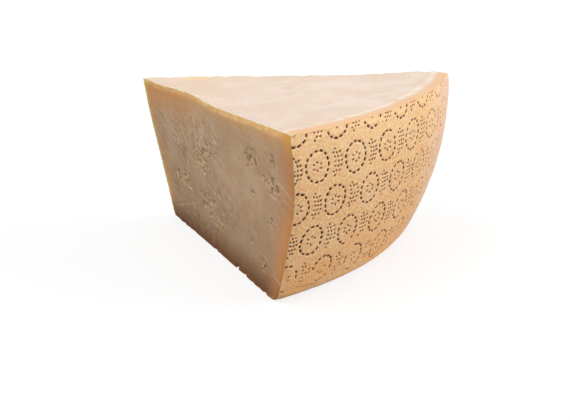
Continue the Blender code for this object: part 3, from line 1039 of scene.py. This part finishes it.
def dashTree():
    # all the pattern's dashes, laid out flat
    make, size = newTree("dashes", pattern)
    columns, rows = 9, 5
    pitch, rise = size["ringPitch"], size["rowPitch"]
    grid = make.add("GeometryNodeMeshGrid", {}, {
        "Size X": pitch * (columns - 1),
        "Size Y": rise * (rows - 1),
        "Vertices X": columns,
        "Vertices Y": rows,
    })
    level = make.split(position(make))[1] / rise + (rows - 1) / 2
    row = level.math("ROUND", level)
    stagger = row.math("MODULO", row, 2.0) * pitch * 0.5
    up = rise * ((rows - 1) / 2) + size["firstRow"]
    ring, petals, sprig = motifs(make, size)
    centres = moved(make, grid, Offset=make.combine(stagger - size["shiftLeft"], up, 0.0))
    between = moved(make, centres, Offset=make.combine(pitch * 0.5, 0.0, 0.0))
    fine = joined(make, placed(make, centres, petals), placed(make, between, sprig))
    large = pricked(make, size, placed(make, centres, ring), size["dashPitch"], 1.0, 3)
    small = pricked(make, size, fine, size["finePitch"], size["fineShare"], 20)
    return endTree(make, joined(make, large, small))


dashes = dashTree()


def flatDashes(make, size):
    group = make.add("GeometryNodeGroup", {"node_tree": dashes})
    for label in pattern:
        make.feed(group.output.node.inputs[label], size[label])
    return group


def carried(make, sheet, label, place):
    # the value that the sheet has under a flat place
    inputs = {"Mesh": sheet, "Value": named(make, label, "FLOAT_VECTOR"), "Sample Position": place}
    return make.add("GeometryNodeSampleNearestSurface", {"data_type": "FLOAT_VECTOR"}, inputs)


def rindMarksTree(material):
    make, size = newTree("rindMarks", pattern)
    x, y, z = make.split(position(make))
    flat = make.combine(x, y, 0.0)
    ground, up = (carried(make, size, label, flat) for label in ("bentPlace", "bentNormal"))
    place = make.vector("ADD", ground, make.vector("SCALE", up, z - size["dashSunk"]))
    return endTree(make, moved(make, flatDashes(make, size), Position=place), material)


def rindTree(material):
    make, size = newTree("rind", {**pattern, **rindShape})
    here = position(make)
    x, y, _ = make.split(here)
    target = moved(make, flatDashes(make, size), Position=make.combine(x, y, 0.0))
    settings = {"target_element": "FACES"}
    distance = make.add("GeometryNodeProximity", settings, {"Geometry": target}, "Distance")
    dent = 1 - make.smooth(distance, 0.0, size["dentWidth"])
    lip = make.smooth(distance, 0.0004, 0.0007) * (1 - make.smooth(distance, 0.0007, 0.0014))
    fade = make.smooth(y, size["marksFadeFrom"], size["marksFadeTo"])
    peel = make.noise(here, size["peelSize"], 2.0, 0.6) - 0.5
    broad = make.noise(here, 110.0, 2.0, 0.5) - 0.5
    lift = peel * size["peelDepth"] + broad * 0.0003 + lip * size["lipHeight"] * fade
    lift = lift - dent * size["dentDepth"] * (0.35 + 0.65 * fade)
    sheet = stored(make, size, "nearMark", distance * 1000.0)
    ground, up = (named(make, label, "FLOAT_VECTOR") for label in ("bentPlace", "bentNormal"))
    place = make.vector("ADD", ground, make.vector("SCALE", up, lift))
    return endTree(make, moved(make, sheet, Position=place), material)


# Screen colours of the rind, and of the dashes pricked into it
rindLook = {
    "gold": (243, 191, 138),
    "pale": (250, 220, 176),
    "brown": (227, 164, 104),
    "upper": (246, 200, 142),
    "low": (255, 181, 112),
    # painted sheen towards the right cut
    "far": (245, 211, 202),
    "smear": (164, 104, 66),
    "burnt": (196, 126, 70),
    "pit": (120, 66, 42),
    # painted highlight on the dents' raised lips
    "lip": (250, 228, 196),
    "edge": (252, 210, 156),
    "lowEdge": (132, 86, 52),
}
markLook = {
    "dark": (60, 28, 22),
    "brown": (110, 56, 38),
    # painted glints on the dashes
    "dusty": (150, 116, 98),
    # painted sheen on the dashes towards the right cut, and their fading lower down
    "fadeAndSheen": (214, 106, 52),
}


def rindMaterial():
    material, make = newMaterial("rind", {
        "Subsurface Weight": 0.2,
        "Subsurface Radius": (1.0, 0.5, 0.2),
        "Subsurface Scale": 0.002,
    })
    smooth = make.smooth
    place = make.flat()
    x, y, _ = make.split(place)
    peel = make.noise(place, 520, 3, 0.6, 0.4)
    grain = make.noise(place, 1150, 3, 0.65)
    flecks = make.noise(place, 700, 2, 0.6, 0.8)
    clouds = make.noise(place, 38, 3, 0.55)
    wavering = (clouds - 0.5) * 0.03
    nearMark = make.attribute("nearMark")  # millimetres to the nearest dash
    low = 1 - smooth(y + wavering, 0.004, 0.062)
    drawn = make.noise(make.combine(x * 0.16, y + x * 0.08, 0.0), 210, 3, 0.6)
    smear = smooth(drawn, 0.52, 0.70) * (1 - smooth(y + wavering, 0.012, 0.034))
    burnt = 1 - smooth(nearMark + (grain - 0.5) * 0.6, 0.05, 0.60)
    # painted highlight: a pale ring on the raised lip round each dash
    lip = smooth(nearMark, 0.3, 0.6) * (1 - smooth(nearMark, 0.7, 1.2)) * smooth(grain, 0.45, 0.6)
    colour = make.paint(
        rindLook, "brown",
        (smooth(peel + (grain - 0.5) * 0.6, 0.34, 0.60), "gold"),
        (smooth(y + wavering, 0.062, 0.108) * 0.5, "upper"),
        (low * 0.8, "low"),
        # painted sheen: the rind paler and pinker towards the right cut
        (smooth(x + wavering * 0.7, 0.018, 0.085) * 0.65, "far"),
        (smooth(clouds, 0.4, 0.7) * 0.25, "pale"),
        (smooth(flecks, 0.54, 0.66) * (0.85 - low * 0.35), "pale"),
        ((1 - smooth(flecks, 0.34, 0.44)) * 0.5, "brown"),
        (smear * 0.38, "smear"),
        (burnt * 0.4, "burnt"),
        (lip * 0.35, "lip"),
        ((1 - smooth(nearMark, 0.0, 0.15)) * 0.7, "pit"),
    )
    height = make.split(make.object())[2]
    edge = make.paint(rindLook, "lowEdge", (smooth(height, 0.001, 0.010), "edge"))
    colour = make.mix(make.attribute("cutEdge"), colour, edge)
    relief = peel * 0.00016 + flecks * 0.00014 + grain * 0.00008 + drawn * 0.00006
    roughness = 0.60 - (peel - 0.5) * 0.3
    make.surface({"Base Color": colour, "Roughness": roughness, "Normal": make.bump(relief, 0.8)})
    return material


def markMaterial():
    material, make = newMaterial("rindMark", {"Specular IOR Level": 0.2})
    mottle = make.noise(make.object(), 1400, 2, 0.6)
    colour = make.paint(
        markLook, "dark",
        (make.attribute("tone"), "brown"),
        # painted glints: greyish pale spots on the dashes
        (make.smooth(mottle, 0.56, 0.78) * 0.5, "dusty"),
        # painted sheen towards the right cut, and fading lower down
        (make.attribute("fadeAndSheen"), "fadeAndSheen"),
    )
    make.surface({"Base Color": colour, "Roughness": 0.45 + mottle * 0.25})
    return material


def makeSheet(ts, runs):
    # the rind laid flat, with its bent place and normal on each point
    t, run = (part.ravel() for part in np.meshgrid(ts, runs))
    mesh = bpy.data.meshes.new("rindSheet")
    flat = np.column_stack([(t - 0.5) * rindArc, run, 0 * run])
    mesh.from_pydata(flat.tolist(), [], gridFaces(len(runs), len(ts)))
    sharp = rindPlace(t, run)
    bent = worn(sharp) + chipped(sharp)
    for label, values in (("bentPlace", bent), ("bentNormal", rindNormal(t, run))):
        data = mesh.attributes.new(label, "FLOAT_VECTOR", "POINT").data
        data.foreach_set("vector", values.astype(np.float32).ravel())
    return addObject("rindSheet", mesh), sharp, flat


def readBack(data, label, width):
    values = np.empty(len(data) * width, np.float32)
    data.foreach_get(label, values)
    return values


def rindPatch(sharp, final, flat, faces, nearMark=9.0, cutEdge=0.0):
    ones = np.ones(len(sharp))
    return Patch(sharp, final, flat, faces, 0, {"nearMark": nearMark * ones, "cutEdge": cutEdge * ones})


def wornPatch(sharp, flat, faces, cutEdge):
    return rindPatch(sharp, worn(sharp) + chipped(sharp), flat, faces, 9.0, cutEdge)


def loopOf(ts, runs, shares, lift):
    # right round the rind's cut edge: down the left, in to the point, out, up the right and back
    return np.concatenate([
        rindPlace(0.0, runs[::-1], lift),
        cutAlong(0.0, 0.0, shares[-2::-1], lift),
        cutAlong(1.0, 0.0, shares[1:], lift),
        rindPlace(1.0, runs[1:], lift),
        rindPlace(ts[-2:0:-1], rindRun, lift),
    ])


def makeRind():
    least = skin["spacing"] * skin["borderShare"]
    ts = spaced(rindArc, skin["spacing"], least)
    runs = spaced(rindRun, skin["spacing"], least) * rindRun
    shares = spaced(wheel["radius"], skin["edgeSpacing"], cuts["edgeSpacing"])
    sheet, sharp, flat = makeSheet(ts, runs)
    marks = addObject("rindMarks", sheet.data)
    runTree(marks, rindMarksTree(markMaterial()), pattern)
    rindPaint = rindMaterial()
    runTree(sheet, rindTree(rindPaint), {**pattern, **rindShape})
    final = readBack(sheet.data.vertices, "co", 3).reshape(-1, 3).astype(float)
    near = readBack(sheet.data.attributes["nearMark"].data, "value", 1)
    bpy.data.objects.remove(sheet)
    patches = [rindPatch(sharp, final, flat[:, :2], gridFaces(len(runs), len(ts)), near)]
    under = -skin["thickness"]
    for lift, cutEdge in ((0.0, 0.0), (under, 1.0)):
        sharp, spots, faces = fillBottom(ts, shares, shares, lift, skin["bottomSpacing"])
        patches.append(wornPatch(sharp, spots + 0.5, faces, cutEdge))
    patches.append(wornPatch(*fillSide(ts, runs, runs, under), 1.0))
    edge = np.concatenate([loopOf(ts, runs, shares, lift) for lift in (0.0, under)])
    count = len(edge) // 2
    faces = [(i, (i + 1) % count, count + (i + 1) % count, count + i) for i in range(count)]
    patches.append(rindPatch(edge, edge, edge[:, :2], faces))
    return joinPatches("rind", patches, [rindPaint]), marks


rind, rindMarks = makeRind()
print("rind", len(rind.data.polygons), "faces, marks", len(rindMarks.data.polygons))

# Loose grains: how many to a square metre, where an edge is at its most crumbly, and their radii
crumbs = {"density": 860000.0, "least": 0.00016, "most": 0.00060}
crystals = {"density": 4200.0, "least": 0.00014, "most": 0.00036}
grainLooks = {
    "crumbs": {"one": (252, 243, 230), "other": (240, 222, 196)},
    "crystals": {"one": (248, 238, 220), "other": (240, 224, 198)},
}


def grainsTree(name, sizes, material, flatness, seed, label):
    # small grains strewn over a surface, thickest where the labelled attribute is high
    make, size = newTree(name, sizes)
    density = size["density"] * named(make, label) if label else size["density"]
    inputs = {"Mesh": size, "Density": density, "Seed": seed}
    settings = {"distribute_method": "RANDOM"}
    points = make.add("GeometryNodeDistributePointsOnFaces", settings, inputs)
    grain = make.add("GeometryNodeMeshIcoSphere", {}, {"Radius": 1.0, "Subdivisions": 2 if label else 1})
    grain = moved(make, grain, Offset=unevenness(make, position(make), 0.9, 2.0, (0.9, 0.9, 0.9)))
    radius = chance(make, 0.0, 1.0, seed + 1) ** 2.0 * (size["most"] - size["least"]) + size["least"]
    spin = turned(make, chance(make, 0.0, 6.28, seed + 2))
    turn = make.add("FunctionNodeRotateRotation", {"rotation_space": "LOCAL"}, [points["Rotation"], spin])
    scale = make.combine(radius, radius * chance(make, 0.6, 1.0, seed + 3), radius * flatness)
    return endTree(make, placed(make, points, grain, Rotation=turn, Scale=scale), material)


def grainMaterial(name, roughness):
    constants = {"Roughness": roughness, "Subsurface Weight": 0.3, "Subsurface Scale": 0.0015}
    material, make = newMaterial(name, constants)
    share = make.smooth(make.noise(make.object(), 700, 2, 0.6), 0.4, 0.6)
    make.surface({"Base Color": make.paint(grainLooks[name], "one", (share, "other"))})
    return material


def makeGrains(name, sizes, roughness, flatness, seed, label=None):
    piece = addObject(name, paste.data)
    material = grainMaterial(name, roughness)
    runTree(piece, grainsTree(name, sizes, material, flatness, seed, label), sizes)
    return piece


crumbPiece = makeGrains("crumbs", crumbs, 0.6, 0.8, 11, "crumby")
crystalPiece = makeGrains("crystals", crystals, 0.35, 0.35, 31)
print("grains", len(crumbPiece.data.polygons), len(crystalPiece.data.polygons))


def settle():
    # moves every piece from the wheel's frame into the solid's place
    places = np.concatenate([readBack(piece.data.vertices, "co", 3) for piece in (paste, rind)])
    places = places.reshape(-1, 3).astype(float)
    low, high = places.min(0), places.max(0)
    cadLow, cadHigh = (np.array(corner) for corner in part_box("cheese_wedge"))
    shift = (cadLow + cadHigh - low - high) / 2
    shift[2] = cadLow[2] - low[2]
    print("box off by", ((cadHigh - cadLow) - (high - low)) * 1000, "shift", shift)
    slots = {"paste": (paste, crumbPiece, crystalPiece), "rind": (rind, rindMarks)}
    for slot, pieces in slots.items():
        for piece in pieces:
            piece.data.transform(Matrix.Translation(shift))
            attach(piece, "root")
            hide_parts("cheese_wedge")


settle()

studio = {
    "camera": (-0.48259, -0.38064, 0.22887),
    "yaw": math.radians(-52.910),
    "pitch": math.radians(18.292),
    "roll": math.radians(-3.810),
    "lens": 62.590,
    "shift": (-0.00441, -0.00806),
    "skyAbove": 0.70,
    "skyBelow": 0.22,
    "lights": (("key", (0.42, -1.0, 0.20), 2.65), ("fill", (-0.45, 0.25, 1.0), 0.88)),
    "lightSize": math.radians(45),
    "floor": 0.25,
    "floorGlow": 0.76,  # a lit white table, so that shadows on it stay faint
    "floorSize": 12.0,
}


def makeCamera():
    camera = addObject("camera", bpy.data.cameras.new("camera"))
    camera.data.lens = studio["lens"]
    camera.data.shift_x, camera.data.shift_y = studio["shift"]
    camera.data.clip_start = 0.01
    camera.location = studio["camera"]
    turn = Matrix.Rotation(studio["yaw"], 4, "Z") @ Matrix.Rotation(math.pi / 2 - studio["pitch"], 4, "X")
    camera.rotation_euler = (turn @ Matrix.Rotation(studio["roll"], 4, "Z")).to_euler()
    bpy.context.scene.camera = camera


def makeLights():
    for name, source, energy in studio["lights"]:
        light = addObject(name, bpy.data.lights.new(name, "SUN"))
        light.data.energy = energy
        light.data.angle = studio["lightSize"]
        light.rotation_euler = Vector(source).to_track_quat("Z", "Y").to_euler()
    world = bpy.data.worlds.new("studio")
    world.use_nodes = True
    make = Maker(world.node_tree)
    up = make.split(make.add("ShaderNodeTexCoord", {}, (), "Generated"))[2]
    strength = make.smooth(up, -0.2, 0.2) * (studio["skyAbove"] - studio["skyBelow"]) + studio["skyBelow"]
    sky = world.node_tree.nodes["Background"]
    make.feed(sky.inputs["Strength"], strength)
    make.feed(sky.inputs["Color"], (1, 1, 1))
    bpy.context.scene.world = world
    bpy.context.scene.view_settings.view_transform = "Standard"


def makeFloor():
    half, grey = studio["floorSize"] / 2, studio["floor"]
    mesh = bpy.data.meshes.new("floor")
    corners = [(-half, -half, 0), (half, -half, 0), (half, half, 0), (-half, half, 0)]
    mesh.from_pydata(corners, [], [(0, 1, 2, 3)])
    mesh.materials.append(newMaterial("floor", {
        "Base Color": (grey, grey, grey),
        "Roughness": 1.0,
        "Specular IOR Level": 0.0,
        "Emission Color": (1, 1, 1),
        "Emission Strength": studio["floorGlow"],
    })[0])
    floor = addObject("floor", mesh)
    floor.visible_diffuse = False  # its glow doesn't light the wedge from below
    floor.visible_glossy = False


makeCamera()
makeLights()
makeFloor()
